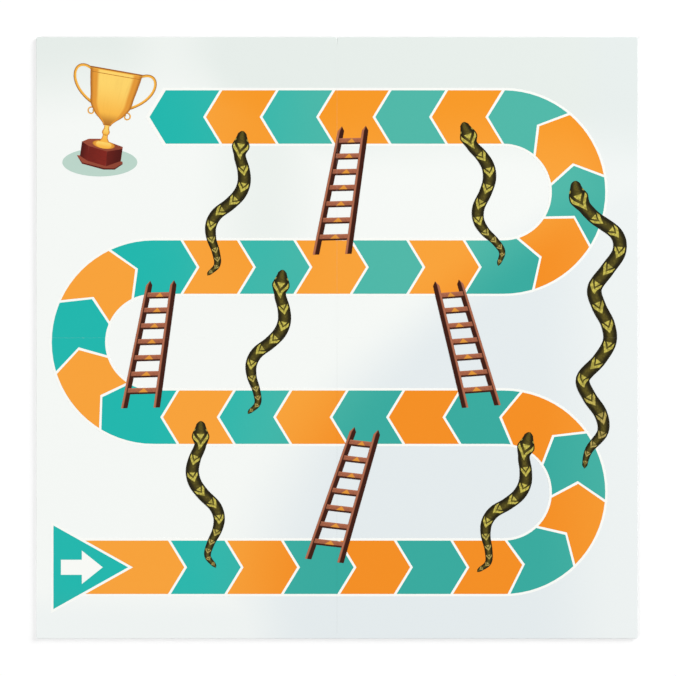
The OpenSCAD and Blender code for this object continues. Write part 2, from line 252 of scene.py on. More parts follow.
class Paint:
    """One material, or the world, and the nodes in it."""

    def __init__(self, owner):
        owner.use_nodes = True
        self.owner = owner
        self.tree = owner.node_tree
        self.tree.nodes.clear()

    @classmethod
    def named(cls, name):
        return cls(bpy.data.materials.new(name))

    def node(self, kind, settings=None, sockets=None, out=0):
        made = self.tree.nodes.new(kind)
        for key, value in (settings or {}).items():
            setattr(made, key, value)
        for key, value in (sockets or {}).items():
            if isinstance(value, Wire):
                self.tree.links.new(value.socket, made.inputs[key])
            else:
                made.inputs[key].default_value = value
        return Wire(self, made.outputs[out]) if made.outputs else None

    def place(self):
        return self.node("ShaderNodeTexCoord", out="Object")

    def split(self, vector):
        parts = self.node("ShaderNodeSeparateXYZ", None, {0: vector})
        return parts.at("X"), parts.at("Y"), parts.at("Z")

    def join(self, x, y, z=0.0):
        return self.node("ShaderNodeCombineXYZ", None, {"X": x, "Y": y, "Z": z})

    def strip(self):
        across, along, _ = self.split(self.node("ShaderNodeUVMap", {"uv_map": "Strip"}))
        return across, along

    def reach(self):
        return self.node("ShaderNodeAttribute", {"attribute_name": "Reach"}, out="Fac")

    def stretch(self, vector, x, y, z):
        return self.node("ShaderNodeVectorMath", {"operation": "MULTIPLY"}, {0: vector, 1: (x, y, z)})

    def noise(self, vector, scale, detail=2.0):
        return self.node("ShaderNodeTexNoise", None, {"Vector": vector, "Scale": scale, "Detail": detail})

    def cells(self, vector, scale):
        return self.node("ShaderNodeTexVoronoi", None, {"Vector": vector, "Scale": scale})

    def ease(self, value, low, high):
        """0 below low and 1 above high, or the other way round where low is the greater."""
        return self.node(
            "ShaderNodeMapRange",
            {"interpolation_type": "SMOOTHSTEP"},
            {"Value": value, "From Min": low, "From Max": high, "To Min": 0.0, "To Max": 1.0},
        )

    def mix(self, factor, first, second):
        return self.node("ShaderNodeMix", {"data_type": "RGBA"}, {0: factor, 6: first, 7: second}, out=2)

    def fade(self, value, low, high, first, second, limit=1):
        """One colour into another as a value goes from low to high, as far as the limit."""
        factor = self.ease(value, low, high)
        return self.mix(factor * limit if limit < 1 else factor, first, second)

    def surface(self, base, roughness, height, depth, fixed=None):
        bump = self.node("ShaderNodeBump", None, {"Height": height, "Distance": depth})
        sockets = {"Base Color": base, "Roughness": roughness, "Normal": bump}
        sockets.update(fixed or {})
        shader = self.node("ShaderNodeBsdfPrincipled", None, sockets)
        self.node("ShaderNodeOutputMaterial", None, {"Surface": shader})
        return self.owner


def tone(tint, level=1.0):
    """A colour, lighter or darker, with its alpha."""
    return tuple(min(1.0, channel * level) for channel in tint) + (1.0,)


def from_middle(place):
    """0 at the middle of a strip and 1 at its sides or ends."""
    return abs(2 * place - 1)


def laminate(paint, base):
    """A satin film over the print: fine paper grain, small rubs and a soft line at the folds."""
    place = paint.place()
    _, y, _ = paint.split(place)
    grain = paint.noise(place, 1500, 3)
    swell = paint.noise(place, 140, 2)
    rubs = paint.noise(place, 30, 4)
    fold = paint.ease(abs(y), FOLD_DULL, 0.0)
    roughness = 0.27 + 0.1 * rubs + 0.12 * fold
    height = 0.6 * grain + swell
    return paint.surface(base, roughness, height, depth=0.00001, fixed={"Specular IOR Level": 0.35})


def painted_light_drift(paint, x, y):
    """How far painted light drifts over the sheet: a painted sheen towards the right, painted shade towards
    the top and the lower right.
    """
    cloud = paint.noise(paint.place(), 9, 3) - 0.5
    # Every level here is painted light: a painted sheen towards the right; painted shade towards the top, in
    # a band, in a bow to the lower right and along the right and bottom edges, lessened in a streak and near
    # the right edge.
    right = paint.ease(x + 0.1 * cloud, -0.18, 0.06)
    streak = 0.5 * paint.ease(abs(x + 0.14), 0.05, 0.0)
    band = 0.6 * paint.ease(abs(x + 0.06), 0.065, 0.0) * paint.ease(y, 0.01, 0.1)
    height = y + 0.03 * cloud - 0.045 * paint.ease(x, -0.05, -0.12)
    top = (paint.ease(height, 0.13, 0.2) * (1 - streak)).most(band)
    bow = x - 2.4 * (y + 0.226) ** 2 + 0.015 * cloud
    shade = paint.ease(bow, -0.117, -0.022) * (1 - 0.5 * paint.ease(x, 0.16, 0.235))
    edge = paint.ease(x, 0.19, 0.23).most(paint.ease(y, -0.205, -0.235))
    return right, top, shade.most(0.35 * edge)


def satin_print(name, light, sheen_to_right=None, shade_to_top=None, shade_to_corner=None):
    """A printed tint under a painted sheen and painted shade that drift over the sheet, worn along the folds
    and the outer edges.
    """
    paint = Paint.named(name)
    place = paint.place()
    x, y, _ = paint.split(place)
    base = tone(light)
    # Mixes in the painted sheen and the painted shade.
    for level, tint in zip(painted_light_drift(paint, x, y), (sheen_to_right, shade_to_top, shade_to_corner)):
        if tint:
            base = paint.mix(level, base, tone(tint))
    speck = paint.noise(place, 2600, 1)
    uneven = paint.fade(speck, 0.3, 0.7, base, tone(light, 0.7), 0.05)
    rubs = paint.noise(place, 160, 4)
    fold = paint.ease(abs(y), FOLD_LINE, 0.0) * paint.ease(rubs, 0.45, 0.75)
    rim = paint.ease(abs(x).most(abs(y)), HALF - EDGE_WEAR, HALF) * (0.3 + 0.7 * rubs)
    bare = tuple(0.5 * channel + 0.33 for channel in light) + (1.0,)
    return laminate(paint, paint.mix(0.3 * fold + 0.3 * rim, uneven, bare))


def face_print(name, inks):
    """The white print of the face sheets, with painted shade towards the top and the lower right."""
    return satin_print(name, inks.ground, shade_to_top=inks.ground_top_shade, shade_to_corner=inks.ground_corner_shade)


def snake_print(name, inks):
    """Dark sides, an olive back with small scales, and a row of pointed marks that fade to the tail."""
    paint = Paint.named(name)
    across, along = paint.strip()
    side = from_middle(across)
    reach = paint.reach()
    scales = paint.cells(paint.join(across * 7, along * 9), 1.0)
    back = paint.fade(side, 0.1, 0.72, tone(inks.snake_back), tone(inks.snake_edge))
    scaled = paint.fade(scales, 0.3, 0.7, back, tone(inks.snake_edge, 0.7), 0.4)
    head_step = along + 0.8 * side
    head_arms = paint.ease(abs(head_step - 1), 0.18, 0.14) * paint.ease(side, 0.89, 0.83)
    head_wedge = paint.ease(head_step, 0.56, 0.52) * paint.ease(along, 0.15, 0.19)
    head_mark = head_arms.most(head_wedge) * paint.ease(along, 1.22, 1.2)
    step = (along + 0.5 * side + 0.48).part()
    arms = paint.ease(abs(step - 0.5), 0.13, 0.09) * paint.ease(side, 0.79, 0.72)
    wedge = paint.ease(step, 0.27, 0.235) * paint.ease(step - 0.5 * side, 0.02, 0.05)
    body_mark = arms.most(wedge) * paint.ease(along, 1.28, 1.3) * paint.ease(reach, 0.99, 0.97)
    tail = paint.ease(reach, 0.68, 0.86)
    bright = paint.mix(tail, tone(inks.snake_mark), tone(inks.tail_mark))
    mark = paint.fade(scales, 0.3, 0.7, bright, tone(inks.snake_back), 0.5)
    marked = paint.mix(head_mark.most(body_mark), scaled, mark)
    eye = paint.ease(((side - 0.92) * 0.6) ** 2 + (along + 0.06) ** 2, 0.008, 0.003)
    return laminate(paint, paint.mix(eye * 0.6, marked, tone(inks.snake_mark, 0.8)))


def rail_print(name, inks):
    """A rail: a lit face, a shaded side and grain along it."""
    paint = Paint.named(name)
    across, along = paint.strip()
    grain = paint.noise(paint.join(across * 9, along * 14), 1.0, 4)
    face = paint.fade(grain, 0.3, 0.75, tone(inks.wood_light), tone(inks.wood))
    worn = paint.fade(across, 0.12, 0.3, face, tone(inks.wood), 0.7)
    shaded = paint.fade(across, 0.24, 0.42, worn, tone(inks.wood_dark))
    return laminate(paint, paint.fade(across, 0.09, 0.0, shaded, tone(inks.wood_dark), 0.4))


def rung_print(name, inks):
    """A rung: a grained face, a dark line under it and a small gold mark."""
    paint = Paint.named(name)
    across, along = paint.strip()
    grain = paint.noise(paint.join(across * 5, along * 26), 1.0, 4)
    face = paint.fade(grain, 0.3, 0.75, tone(inks.wood, 1.2), tone(inks.wood, 0.75))
    top = paint.fade(across, 0.25, 0.05, face, tone(inks.wood_light), 0.7)
    ends = paint.ease(from_middle(along), 0.72, 0.9) * 0.15
    lit = paint.mix(paint.ease(across, 0.65, 0.77).most(ends), top, tone(inks.wood_dark))
    slope = abs(along - 0.5) - 0.22 * (across - 0.04)
    wedge = paint.ease(slope, 0.02, -0.01) * paint.ease(across, 0.74, 0.68)
    return laminate(paint, paint.mix(wedge, lit, tone(inks.wood_mark)))


def gold_print(name, inks, underside=0):
    """Polished gold as it is drawn: dark sides, a middle lit towards the top, and a shaded underside."""
    paint = Paint.named(name)
    across, along = paint.strip()
    lit = paint.fade(along, 0.1, 0.8, tone(inks.gold), tone(inks.gold_light))
    if underside:
        lit = paint.fade(along, 0.24, 0.02, lit, tone(inks.gold_dark), underside)
    side = from_middle(across)
    banded = paint.fade(side, 0.6, 0.76, lit, tone(inks.gold_side))
    shaped = paint.fade(side, 0.84, 1.0, banded, tone(inks.gold_dark), 0.9)
    streaks = paint.noise(paint.join(across * 16, along * 2), 1.0, 3)
    return laminate(paint, paint.fade(streaks, 0.5, 0.8, shaped, tone(inks.gold_dark), 0.1))


def rim_print(name, inks, dark):
    """Rolled gold: a dark line, as wide as the share says, beside a lit one."""
    paint = Paint.named(name)
    across, along = paint.strip()
    ends = paint.ease(from_middle(along), 0.75, 1.0) * 0.5
    roll = paint.fade(across, dark, dark + 0.5, tone(inks.gold_dark), tone(inks.gold))
    return laminate(paint, paint.mix(ends, roll, tone(inks.gold_dark, 0.8)))


def plinth_print(name, left, right):
    """Dark polished wood: one flat side, shaded across and worn a little lighter at its corners."""
    pores = (0.01, 0.004, 0.003, 1.0)
    worn = (0.32, 0.08, 0.06, 1.0)
    paint = Paint.named(name)
    across, along = paint.strip()
    grain = paint.noise(paint.join(across * 4, along * 14), 1.0, 4)
    shaded = paint.fade(across, 0.0, 1.0, left, right)
    dark = paint.mix(0.35, shaded, pores)
    grained = paint.fade(grain, 0.4, 0.8, shaded, dark, 0.7)
    corner = paint.ease(from_middle(across), 0.9, 1.0) * 0.5
    return laminate(paint, paint.mix(corner, grained, worn))


def greyboard(name, tint):
    """Pressed grey pulp: flecks of fibre, and plies that show at a cut edge."""
    paint = Paint.named(name)
    place = paint.place()
    pulp = paint.noise(place, 420, 5)
    fibre = paint.noise(paint.stretch(place, 900, 260, 2600), 1.0, 3)
    flecks = paint.cells(place, 650)
    base = paint.fade(pulp, 0.3, 0.7, tone(tint, 0.84), tone(tint, 1.12))
    fibrous = paint.fade(fibre, 0.52, 0.72, base, tone(tint, 1.3), 0.5)
    specked = paint.fade(flecks, 0.12, 0.05, fibrous, tone(tint, 0.5), 0.6)
    return paint.surface(specked, 0.86 + 0.1 * pulp, pulp + fibre, depth=0.00012)


def lining_paper(name, tint):
    """Uncoated backing paper: soft clouds, fine fibre and faint handling marks."""
    paint = Paint.named(name)
    place = paint.place()
    cloud = paint.noise(place, 90, 5)
    fibre = paint.noise(paint.stretch(place, 2400, 900, 900), 1.0, 3)
    scuff = paint.noise(paint.stretch(place, 14, 60, 14), 1.0, 5)
    mottle = 0.6 * cloud + 0.4 * fibre
    base = paint.fade(mottle, 0.3, 0.7, tone(tint, 0.93), tone(tint, 1.05))
    marked = paint.fade(scuff, 0.62, 0.78, base, tone(tint, 0.82), 0.25)
    return paint.surface(marked, 0.62 + 0.2 * cloud, fibre + 0.5 * cloud, depth=0.00004)


def hinge_cloth(name, tint):
    """Bookbinding cloth: a plain weave of fine threads with painted shade between them, a little glazed."""
    paint = Paint.named(name)
    place = paint.place()
    x, y, _ = paint.split(place)
    pitch = 0.00042
    warp = abs((x / pitch).part() - 0.5) * 2
    weft = abs((y / pitch).part() - 0.5) * 2
    over = abs(((x / pitch / 2).part() > 0.5) - ((y / pitch / 2).part() > 0.5))
    thread = over * (1 - warp ** 2) + (1 - over) * (1 - weft ** 2)
    slub = paint.noise(paint.stretch(place, 500, 90, 500), 1.0, 3)
    # Painted shade: darker in the dips between the threads, lighter on their crowns.
    weave_shade = paint.fade(thread, 0.0, 0.8, tone(tint, 0.62), tone(tint, 1.06))
    slubbed = paint.fade(slub, 0.5, 0.8, weave_shade, tone(tint, 1.2), 0.35)
    return paint.surface(slubbed, 0.68 + 0.16 * slub, thread, depth=0.00006)


def dress(node, material):
    """Gives a CAD node its finish."""
    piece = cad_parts[node]
    if not piece.material_slots:
        piece.data.materials.append(material)
    for slot in piece.material_slots:
        slot.link = "OBJECT"
        slot.material = material


def add_mesh(name, bm, materials):
    """Puts a bmesh into the scene, with its finishes."""
    mesh = bpy.data.meshes.new(name)
    bm.to_mesh(mesh)
    bm.free()
    for material in materials:
        mesh.materials.append(material)
    made = bpy.data.objects.new(name, mesh)
    bpy.context.scene.collection.objects.link(made)
    return made


def new_piece(name, bm, materials, body, stands_for=()):
    """Makes a bmesh a piece that rides on a body and stands for CAD nodes."""
    piece = add_mesh(name, bm, materials)
    if body:
        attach(piece, body)
    if stands_for:
        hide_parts(*stands_for)
    return piece


def thicken(piece, thickness):
    """Gives a printed film its thickness, under its top face."""
    film = piece.modifiers.new("Film", "SOLIDIFY")
    film.thickness = thickness
    film.offset = -1.0


class Track:
    """The winding line through the middles of the spaces."""

    ROWS = 4
    ROW_SPACES = 6.2
    ROW_TIPS = (6, 7, 6, 7)
    ROW_LEADS = (0.57, 0.055, 0.79, 0.295)
    BEND_TIPS = 4
    BEND_LEADS = (15.5, 44, 29.5)
    BEND_STEP = 41

    def __init__(self, sizes):
        self.sizes = sizes
        self.pitch = (2 * HALF - sizes.top - sizes.bottom) / (self.ROWS - 1)
        self.bend = self.pitch / 2
        self.left_x = -HALF + sizes.turn + sizes.width / 2 + self.bend
        self.right_x = HALF - sizes.right - sizes.width / 2 - self.bend
        self.start_x = -HALF + sizes.left + sizes.start
        self.span = self.right_x - self.left_x
        self.starts = [0.0]
        for leg in range(2 * self.ROWS - 2):
            self.starts.append(self.starts[-1] + self.leg_length(leg))
        self.tips = [tip for leg in range(2 * self.ROWS - 1) for tip in self.leg_tips(leg)]

    def leg_length(self, leg):
        if leg % 2:
            return math.pi * self.bend
        return self.right_x - self.start_x if leg == 0 else self.span

    def leg_tips(self, leg):
        row = leg // 2
        if leg % 2:
            turns = [self.BEND_LEADS[row] + k * self.BEND_STEP for k in range(self.BEND_TIPS)]
            return [self.starts[leg] + turn / 180 * math.pi * self.bend for turn in turns]
        space = self.span / self.ROW_SPACES
        first = self.starts[leg] + self.ROW_LEADS[row] * space
        if row == 0:
            first += self.left_x - self.start_x
        return [first + k * space for k in range(self.ROW_TIPS[row])]

    def place(self, distance):
        leg = max(n for n, start in enumerate(self.starts) if n == 0 or distance >= start)
        row = leg // 2
        way = 1 if row % 2 == 0 else -1
        run = distance - self.starts[leg]
        row_y = -HALF + self.sizes.bottom + row * self.pitch
        if leg % 2:
            turn = way * run / self.bend - math.pi / 2
            middle_x = self.right_x if way > 0 else self.left_x
            return Vector((
                middle_x + self.bend * math.cos(turn), row_y + self.bend + self.bend * math.sin(turn), 0
            ))
        row_x = self.start_x if row == 0 else self.left_x if way > 0 else self.right_x
        return Vector((row_x + way * run, row_y, 0))

    def middle(self, number):
        rear = 0 if number == 1 else self.tips[number - 2]
        return self.place((rear + self.tips[number - 1] - self.sizes.tip) / 2)

    def beside(self, number, shift):
        """A point beside the middle of a space, in shares of the track's width."""
        return self.middle(number) + Vector(shift).to_3d() * self.sizes.width


def even(along):
    """Marks that lie evenly along a strip."""
    return along


def strip_pattern(bm):
    """The map that a pattern follows, across and along a strip."""
    return bm.loops.layers.uv.get("Strip") or bm.loops.layers.uv.new("Strip")


def lay_strip(bm, line, half_width, grid, top, side=None, material=0, flip=False, ease=1.0, marks=even):
    """Lays a flat strip along a line, to each side of it as wide as half_width says."""
    steps, strips = grid
    pattern = strip_pattern(bm)
    reach = bm.verts.layers.float.get("Reach") or bm.verts.layers.float.new("Reach")
    made = bmesh.ops.create_grid(bm, x_segments=strips, y_segments=steps, size=0.5, calc_uvs=True)
    for face in {face for vert in made["verts"] for face in vert.link_faces}:
        face.material_index = material
        for loop in face.loops:
            across = 0.5 + (-loop.vert.co.x if flip else loop.vert.co.x)
            along = max(0.0, loop.vert.co.y + 0.5) ** ease
            loop[pattern].uv = (across, marks(along))
    nudge = 0.25 / steps
    for vert in made["verts"]:
        across = 2 * vert.co.x
        along = max(0.0, vert.co.y + 0.5) ** ease
        run = line(along + nudge) - line(along - nudge)
        right = side or Vector((run.y, -run.x, 0)).normalized()
        vert.co = line(along) + right * across * half_width(along)
        vert.co.z = top
        vert[reach] = along


def keep_panel(bm, panel):
    """Keeps what lies on one panel."""
    low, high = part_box(panel + "_face")
    for corner, side in ((low, -1), (high, 1)):
        for normal in (Vector((side, 0, 0)), Vector((0, side, 0))):
            bmesh.ops.bisect_plane(
                bm, geom=bm.verts[:] + bm.edges[:] + bm.faces[:],
                plane_co=corner, plane_no=normal, clear_outer=True,
            )


def print_on_panels(whole, name, materials):
    """Shares a print out over the panels that it crosses."""
    bmesh.ops.remove_doubles(whole, verts=whole.verts, dist=MERGE)
    for panel in PANELS:
        part = whole.copy()
        keep_panel(part, panel)
        piece = new_piece(f"{panel}_{name}_print", part, materials, panel, (f"{panel}_{name}",))
        thicken(piece, INK)
    whole.free()


def smooth_row(shares, t):
    """A smooth curve through a row of evenly spaced shares."""
    last = len(shares) - 1
    i = min(max(math.floor(t * last), 0), last - 1)
    f = t * last - i
    before, here = shares[max(i - 1, 0)], shares[i]
    after, beyond = shares[i + 1], shares[min(i + 2, last)]
    cubic = 3 * (here - after) + beyond - before
    return here + f / 2 * (after - before + f * (2 * before - 5 * here + 4 * after - beyond + f * cubic))


def bezier(bends, t):
    """A point on the curve from the first bend to the last, drawn towards the two between."""
    rest = 1 - t
    ends = bends[0] * rest ** 3 + bends[3] * t ** 3
    return ends + bends[1] * 3 * rest ** 2 * t + bends[2] * 3 * rest * t ** 2


def round_share(t):
    """The half width of an oval, as a share of its widest, part of the way up."""
    return math.sqrt(max(0, 1 - from_middle(t) ** 2))


class BOARD_OT_face_sheets(bpy.types.Operator):
    """Makes the wrapped face sheets, with their edges rounded over the boards"""

    bl_idname = "board.face_sheets"
    bl_label = "Face Sheets"

    FLAT_ANGLE = math.radians(0.5)
    SHARP_ANGLE = math.radians(40)
    ROUND_SEGMENTS = 4
    NEAR_TOP = 1e-6
    NEAR_EDGE = 0.002
    UPWARD = 0.99

    def execute(self, context):
        sizes = context.scene.board_figures
        inks = context.scene.board_colours
        finish = face_print("Face Sheet", inks)
        for panel in PANELS:
            bm = bmesh.new()
            bm.from_mesh(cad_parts[panel + "_face"].data)
            bmesh.ops.remove_doubles(bm, verts=bm.verts, dist=MERGE)
            bmesh.ops.dissolve_limit(bm, angle_limit=self.FLAT_ANGLE, verts=bm.verts, edges=bm.edges)
            outer = [edge for edge in bm.edges if self.is_outer(edge)]
            bmesh.ops.bevel(
                bm, geom=outer, offset=sizes.edge_round, offset_type="OFFSET", affect="EDGES",
                segments=self.ROUND_SEGMENTS, profile=0.5, material=-1, clamp_overlap=True,
            )
            piece = new_piece(
                panel + "_face_sheet", bm, [finish], panel, (panel + "_face",)
            )
            piece.data.set_sharp_from_angle(angle=self.SHARP_ANGLE)
            frame_normals = piece.data.attributes.get("custom_normal")
            if frame_normals:
                piece.data.attributes.remove(frame_normals)
            for face in piece.data.polygons:
                face.use_smooth = abs(face.normal.z) < self.UPWARD
        return {"FINISHED"}

    def is_outer(self, edge):
        """The top edges along the board's own outside, and round its corners."""
        at_top = all(vert.co.z > FACE_TOP - self.NEAR_TOP for vert in edge.verts)
        middle = (edge.verts[0].co + edge.verts[1].co) / 2
        return at_top and max(abs(middle.x), abs(middle.y)) > HALF - self.NEAR_EDGE


class BOARD_OT_boards_and_linings(bpy.types.Operator):
    """Finishes the greyboards, the linings and the hinge cloths"""

    bl_idname = "board.boards_and_linings"
    bl_label = "Boards and Linings"

    def execute(self, context):
        inks = context.scene.board_colours
        board = greyboard("Greyboard", inks.greyboard)
        paper = lining_paper("Lining", inks.lining)
        cloth = hinge_cloth("Hinge Cloth", inks.cloth)
        for panel in PANELS:
            dress(panel + "_core", board)
            dress(panel + "_lining", paper)
        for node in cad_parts:
            if "_fold_cloth_" in node:
                dress(node, cloth)
        return {"FINISHED"}


class BOARD_OT_creases(bpy.types.Operator):
    """Makes the strips that close the three folds"""

    bl_idname = "board.creases"
    bl_label = "Creases"

    STEPS_ACROSS = 12
    STEPS_ALONG = 40
    THICKNESS = 0.0001

    def execute(self, context):
        inks = context.scene.board_colours
        paper = face_print("Crease Paper", inks)
        cloth = hinge_cloth("Crease Cloth", inks.cloth)
        for side in ("left", "right"):
            low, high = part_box(f"top_{side}_face")
            gap = low.y
            ends = Vector((low.x, -gap, FACE_TOP)), Vector((high.x, gap, FACE_TOP))
            piece = self.strip(f"{side}_fold_crease", ends, paper, "face_sheet")
            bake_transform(piece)
        low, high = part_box("centre_fold_cloth_right")
        gap = low.x
        ends = Vector((-gap, low.y, high.z)), Vector((gap, high.y, high.z))
        piece = self.strip("centre_fold_crease", ends, cloth, "hinge_cloth")
        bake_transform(piece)
        return {"FINISHED"}

    def strip(self, name, ends, material, ink):
        low, high = ends
        steps_x, steps_y = self.STEPS_ALONG, self.STEPS_ACROSS
        if high.x - low.x < high.y - low.y:
            steps_x, steps_y = steps_y, steps_x
        bm = bmesh.new()
        bmesh.ops.create_grid(bm, x_segments=steps_x, y_segments=steps_y, size=0.5)
        size = Vector((high.x - low.x, high.y - low.y, 1))
        bmesh.ops.scale(bm, vec=size, verts=bm.verts)
        bmesh.ops.translate(bm, vec=(low + high) / 2, verts=bm.verts)
        bmesh.ops.solidify(bm, geom=bm.faces[:], thickness=self.THICKNESS)
        bmesh.ops.recalc_face_normals(bm, faces=bm.faces)
        return new_piece(name, bm, [material], None)


class BOARD_OT_track_print(bpy.types.Operator):
    """Inks the spaces, the lines round them, the start and the oval under the cup"""

    bl_idname = "board.track_print"
    bl_label = "Track Print"

    def execute(self, context):
        inks = context.scene.board_colours
        line = satin_print("Line Ink", inks.line)
        # The teal and the orange carry painted sheen and painted shade over their print.
        teal = satin_print("Teal Ink", inks.teal, sheen_to_right=inks.teal_right_sheen, shade_to_corner=inks.teal_corner_shade)
        orange = satin_print("Orange Ink", inks.orange, shade_to_top=inks.orange_top_shade, shade_to_corner=inks.orange_corner_shade)
        for panel in PANELS:
            dress(panel + "_keyline", line)
            dress(panel + "_teal", teal)
            dress(panel + "_orange", orange)
        dress("start_arrow", satin_print("White Ink", inks.white))
        dress("cup_oval", satin_print("Pale Ink", inks.pale))
        return {"FINISHED"}


class BOARD_OT_ladders(bpy.types.Operator):
    """Prints the ladders, rail by rail and rung by rung"""

    bl_idname = "board.ladders"
    bl_label = "Ladders"

    ENDS = (
        (4, 14, (0.105, 0.12), (-0.02, -0.21)), (12, 27, (0.02, 0.2), (0.055, -0.25)),
        (18, 22, (0.065, 0.14), (0.055, -0.25)), (25, 35, (0.02, 0.24), (0, -0.17)),
    )
    RUNG_RISE = 0.07
    RUNG_GRID = (8, 4)
    RAIL_GRID = (28, 4)
    RUNG_DROP = 0.2
    FAR_DROP = 0.4

    def execute(self, context):
        sizes = context.scene.board_figures
        inks = context.scene.board_colours
        track = Track(context.scene.board_track)
        whole = bmesh.new()
        for foot_space, top_space, foot_shift, top_shift in self.ENDS:
            foot = track.beside(foot_space, foot_shift)
            self.ladder(whole, sizes, foot, track.beside(top_space, top_shift))
        materials = [rail_print("Ladder Rail", inks), rung_print("Ladder Rung", inks)]
        print_on_panels(whole, "ladders", materials)
        return {"FINISHED"}

    def ladder(self, bm, sizes, foot, top):
        run = top - foot
        up = run.normalized()
        leans_left = run.x < 0
        turn = Matrix.Rotation(-sizes.skew if leans_left else sizes.skew, 3, "Z")
        cross = turn @ Vector((up.y, -up.x, 0))

        def reach(t):
            return (sizes.ladder_foot + (sizes.ladder_top - sizes.ladder_foot) * t - sizes.rail) / 2

        for k in range(1, sizes.rungs + 1):
            step = k / (sizes.rungs + 1)
            t = step + self.RUNG_RISE * step * (1 - step)
            middle = foot + run * t
            wide = cross * reach(t)
            lay_strip(
                bm, lambda s: middle + wide * (2 * s - 1), lambda s: sizes.rung / 2,
                self.RUNG_GRID, TOP_INK - self.RUNG_DROP * INK, side=-up, material=1,
            )
        far = 1 if leans_left else -1
        for hand in (-1, 1):
            drop = self.FAR_DROP if hand == far else 0
            lay_strip(
                bm, lambda s: foot + run * s + cross * hand * reach(s),
                lambda s: sizes.rail / 2 * min(1, (1 - s) * run.length / sizes.rail_tip),
                self.RAIL_GRID, TOP_INK - drop * INK, side=cross, flip=leans_left,
            )


class BOARD_OT_snakes(bpy.types.Operator):
    """Prints the snakes, head to tail"""

    bl_idname = "board.snakes"
    bl_label = "Snakes"

    SHORT = (0, 0.1, 0.22, 0.7, 0.97, 0.85, 0.33, -0.38, -0.6, -0.35, 0.2, 0.5, 0)
    LONG = (0, 0.25, 1.2, 2.8, 3, 2.1, 1.15, 1.4, 2, 2.1, 1.3, 0.1, 0.5, 1.3, 1.4, 0.35, 0)
    SHORT_BODY = (0.9, 0.9, 0.91, 0.99, 1.02, 0.97, 0.94, 0.83, 0.65, 0.53, 0.3)
    LONG_BODY = (1, 1.03, 1.03, 1.1, 1.12, 1.07, 1.06, 1.07, 1.04, 0.78, 0.38)
    SHORT_HEAD = 1
    LONG_HEAD = 1.12
    HEAD = (0.42, 0.5, 0.66, 0.87, 0.965, 0.81)
    GRID = (120, 6)
    CROWDING = 1.3
    PATH_STEPS = 200
    HEAD_MARK = 1.1
    HEAD_GAP = 0.68
    GATHER = 0.8
    ENDS = (
        (11, 7, (-0.12, -0.14), (-0.2, -0.09), 1), (17, 2, (0.05, -0.07), (0.19, -0.01), -1),
        (24, 16, (0.155, -0.05), (-0.125, 0.06), 1), (30, 10, (-0.06, 0.34), (0.21, -0.08), 0),
        (33, 28, (-0.065, -0.095), (-0.09, 0.02), 1), (37, 23, (0.035, -0.26), (-0.205, -0.16), 1),
    )

    def execute(self, context):
        sizes = context.scene.board_figures
        track = Track(context.scene.board_track)
        whole = bmesh.new()
        for head_space, tail_space, nose_shift, tail_shift, hand in self.ENDS:
            nose = track.beside(head_space, nose_shift)
            tail = track.beside(tail_space, tail_shift)
            if hand:
                bends = [hand * bend for bend in self.SHORT]
                shape = bends, self.SHORT_BODY, self.SHORT_HEAD, sizes.short_mark
            else:
                shape = self.LONG, self.LONG_BODY, self.LONG_HEAD, sizes.long_mark
            self.snake(whole, sizes, nose, tail, *shape)
        materials = [snake_print("Snake", context.scene.board_colours)]
        print_on_panels(whole, "snakes", materials)
        return {"FINISHED"}

    def snake(self, bm, sizes, nose, tail, bends, body, head_size, mark_gap):
        run = tail - nose
        side = Vector((-run.y, run.x, 0)).normalized() * sizes.sway
        head_width = sizes.head_width * head_size
        head_length = sizes.head_length * head_size
        neck = smooth_row(body, head_length / run.length) * sizes.snake / head_width
        head = self.HEAD + (neck,)

        def line(t):
            return nose + run * t + side * smooth_row(bends, t)

        def half_width(t):
            blunt = math.sqrt(min(1, t * run.length / sizes.nose, (1 - t) * run.length / sizes.nose))
            if t * run.length < head_length:
                return blunt * head_width / 2 * smooth_row(head, t * run.length / head_length)
            return blunt * sizes.snake / 2 * smooth_row(body, t)

        path = [0.0]
        for k in range(self.PATH_STEPS):
            step = line((k + 1) / self.PATH_STEPS) - line(k / self.PATH_STEPS)
            path.append(path[-1] + step.length)
        head_end = self.HEAD_MARK * head_length
        gathers = path[-1] - sizes.gathered

        def mark(t):
            k = min(int(t * self.PATH_STEPS), self.PATH_STEPS - 1)
            way = path[k] + (t * self.PATH_STEPS - k) * (path[k + 1] - path[k])
            if way < head_end:
                return 1 + (way - head_end) / (self.HEAD_GAP * head_length)
            closer = self.GATHER * max(0, way - gathers) / sizes.gathered
            return 1 + (way - head_end + closer * (way - gathers)) / mark_gap

        lay_strip(bm, line, half_width, self.GRID, TOP_INK, ease=self.CROWDING, marks=mark)


